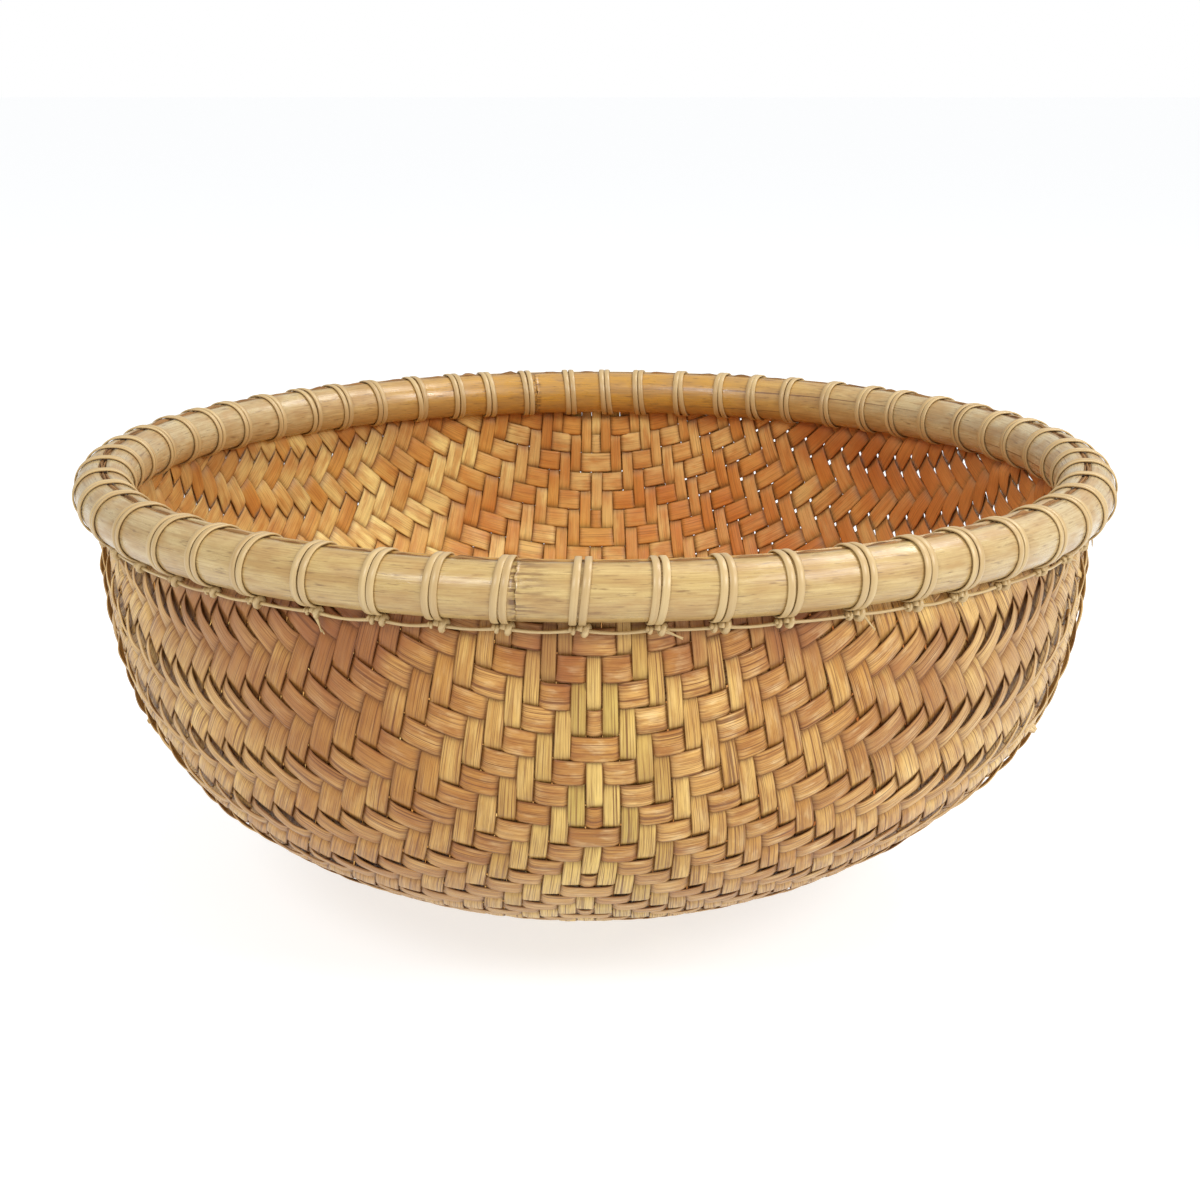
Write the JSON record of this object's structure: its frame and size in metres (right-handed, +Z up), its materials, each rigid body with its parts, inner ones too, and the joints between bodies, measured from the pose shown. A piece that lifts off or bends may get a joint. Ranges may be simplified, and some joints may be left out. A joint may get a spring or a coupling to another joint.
{
  "type": "winnowing basket",
  "caption": "Deep round winnowing basket: a twill-woven split-bamboo bowl clamped between an outer and an inner half-round bamboo hoop, lashed with cane.",
  "frame": {"origin": "centre of the flat that the basket rests on, at the bottom of the bowl", "axes": "+Z up through the middle of the mouth, -Y towards the front of the basket, where the outer hoop's joint is, +X to the right"},
  "size_m": [0.4827, 0.4828, 0.213],
  "materials": {
    "splint": "satin",
    "hoop": "semi_gloss",
    "filler": "matte",
    "cane": "satin"
  },
  "bodies": {
    "root": {"woven_bowl": "splint", "outer_hoop": "hoop", "inner_hoop": "hoop", "filler_strips": "filler", "rim_lashing_01": "cane", "rim_lashing_02": "cane", "rim_lashing_03": "cane", "rim_lashing_04": "cane", "rim_lashing_05": "cane", "rim_lashing_06": "cane", "rim_lashing_07": "cane", "rim_lashing_08": "cane", "rim_lashing_09": "cane", "rim_lashing_10": "cane", "rim_lashing_11": "cane", "rim_lashing_12": "cane", "rim_lashing_13": "cane", "rim_lashing_14": "cane", "rim_lashing_15": "cane", "rim_lashing_16": "cane", "rim_lashing_17": "cane", "rim_lashing_18": "cane", "rim_lashing_19": "cane", "rim_lashing_20": "cane", "rim_lashing_21": "cane", "rim_lashing_22": "cane", "rim_lashing_23": "cane", "rim_lashing_24": "cane", "rim_lashing_25": "cane", "rim_lashing_26": "cane", "rim_lashing_27": "cane", "rim_lashing_28": "cane", "rim_lashing_29": "cane", "rim_lashing_30": "cane", "rim_lashing_31": "cane", "rim_lashing_32": "cane", "rim_lashing_33": "cane", "rim_lashing_34": "cane", "rim_lashing_35": "cane", "rim_lashing_36": "cane", "rim_lashing_37": "cane", "rim_lashing_38": "cane", "rim_lashing_39": "cane", "rim_lashing_40": "cane", "rim_lashing_41": "cane", "rim_lashing_42": "cane", "rim_lashing_43": "cane", "rim_lashing_44": "cane", "rim_lashing_45": "cane", "rim_lashing_46": "cane", "rim_lashing_47": "cane", "rim_lashing_48": "cane", "rim_lashing_49": "cane", "rim_lashing_50": "cane", "rim_lashing_51": "cane", "rim_lashing_52": "cane", "rim_lashing_53": "cane", "rim_lashing_54": "cane", "rim_lashing_55": "cane", "rim_lashing_56": "cane"}
  },
  "joints": []
}
